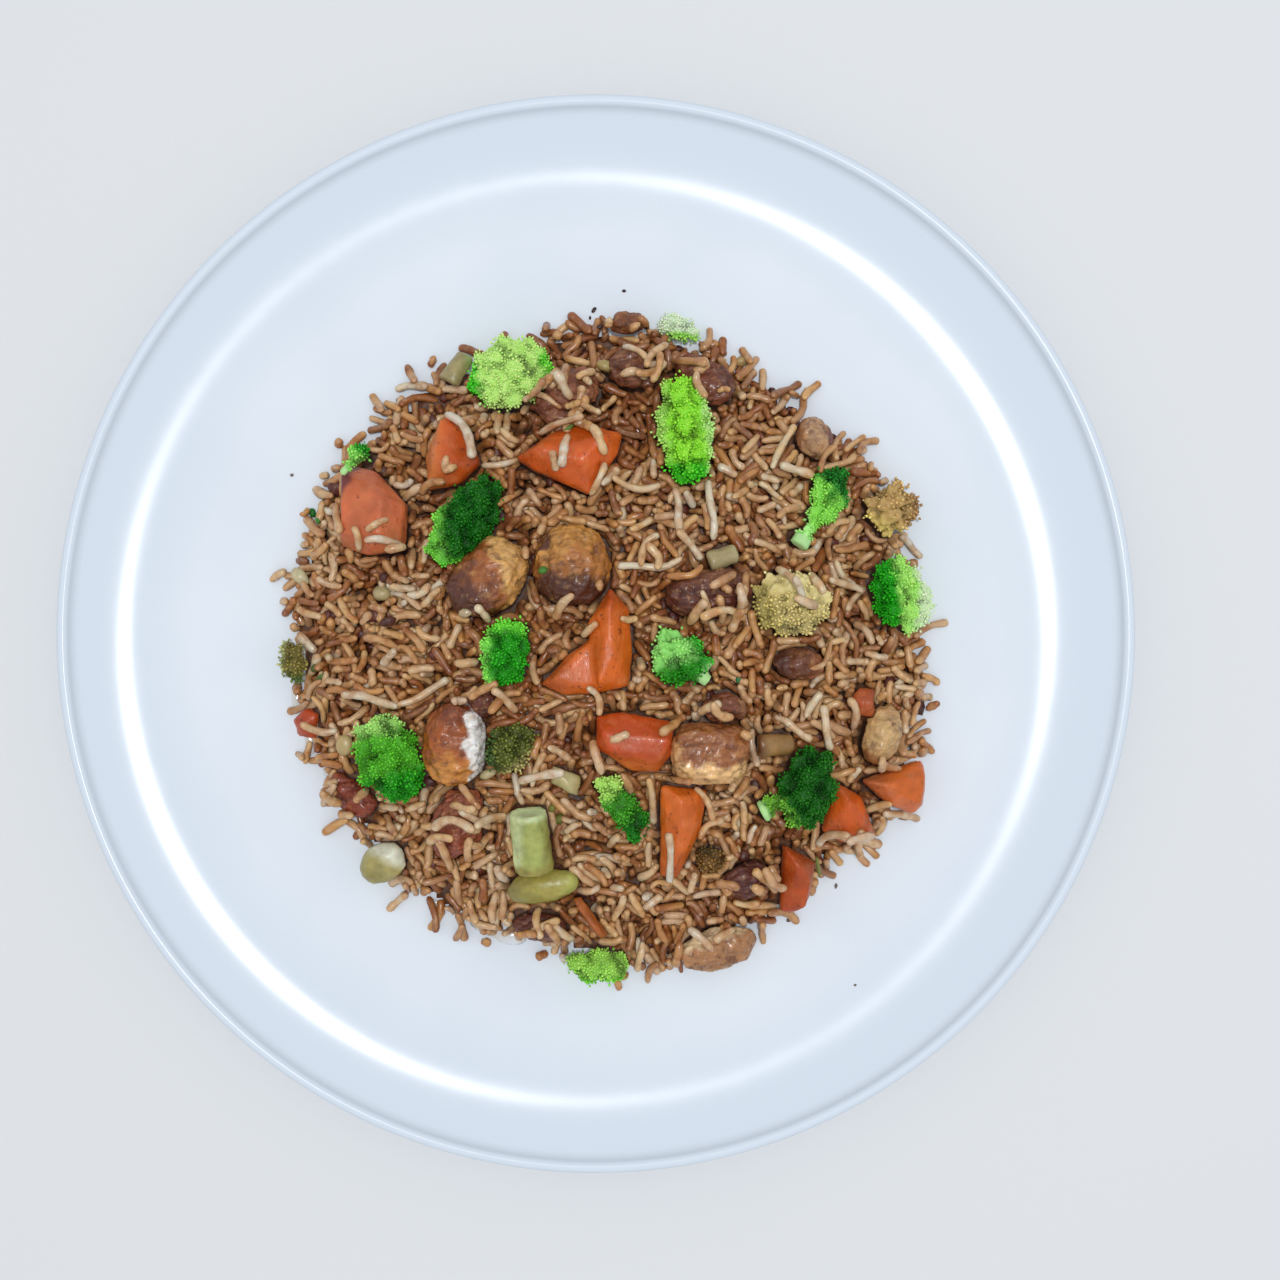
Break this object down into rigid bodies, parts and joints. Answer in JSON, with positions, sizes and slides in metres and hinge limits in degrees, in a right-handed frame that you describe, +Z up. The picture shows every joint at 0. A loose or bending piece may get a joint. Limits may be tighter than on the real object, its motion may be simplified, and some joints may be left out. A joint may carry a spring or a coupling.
{
  "type": "plate of fried rice",
  "caption": "White glazed dinner plate with a heap of fried long-grain rice, broccoli florets, cut carrots, browned tofu, meat and stems.",
  "frame": {"origin": "under the middle of the plate, on the surface that it stands on", "axes": "+Z up out of the plate; +X to the right and +Y to the top of the plate as served and looked down on"},
  "size_m": [0.2732, 0.2732, 0.0375],
  "materials": {
    "plate": "white gloss glaze",
    "rice": "moist cooked long-grain rice browned by soy sauce, tan to brown",
    "fresh_broccoli": "beaded buds, dark green to yellow green, pale green stalks",
    "cooked_broccoli": "soft beaded buds, olive to straw yellow",
    "carrot": "moist cut carrot, orange to coral",
    "tofu": "browned and glazed, cream where pale",
    "meat": "fibrous reddish brown, moist",
    "stem": "soft pale green to olive, moist"
  },
  "bodies": {
    "root": {"plate": "plate", "rice": "rice", "fresh_floret_01": "fresh_broccoli", "fresh_floret_02": "fresh_broccoli", "fresh_floret_03": "fresh_broccoli", "fresh_floret_04": "fresh_broccoli", "fresh_floret_05": "fresh_broccoli", "fresh_floret_06": "fresh_broccoli", "fresh_floret_07": "fresh_broccoli", "fresh_floret_08": "fresh_broccoli", "fresh_floret_09": "fresh_broccoli", "fresh_floret_10": "fresh_broccoli", "fresh_floret_11": "fresh_broccoli", "fresh_floret_12": "fresh_broccoli", "fresh_floret_13": "fresh_broccoli", "carrot_01": "carrot", "carrot_02": "carrot", "carrot_03": "carrot", "carrot_04": "carrot", "carrot_05": "carrot", "carrot_06": "carrot", "carrot_07": "carrot", "carrot_08": "carrot", "carrot_09": "carrot", "carrot_10": "carrot", "carrot_11": "carrot", "carrot_12": "carrot", "stem_01": "stem", "stem_02": "stem", "stem_03": "stem", "stem_04": "stem", "stem_05": "stem", "stem_06": "stem", "stem_07": "stem", "tofu_01": "tofu", "tofu_02": "tofu", "tofu_03": "tofu", "tofu_04": "tofu", "tofu_05": "tofu", "tofu_06": "tofu", "tofu_07": "tofu", "tofu_08": "tofu", "cooked_floret_01": "cooked_broccoli", "cooked_floret_02": "cooked_broccoli", "cooked_floret_03": "cooked_broccoli", "cooked_floret_04": "cooked_broccoli", "cooked_floret_05": "cooked_broccoli", "meat_01": "meat", "meat_02": "meat", "meat_03": "meat", "meat_04": "meat", "meat_05": "meat", "meat_06": "meat", "meat_07": "meat", "meat_08": "meat", "meat_09": "meat", "meat_10": "meat", "meat_11": "meat"}
  },
  "joints": []
}
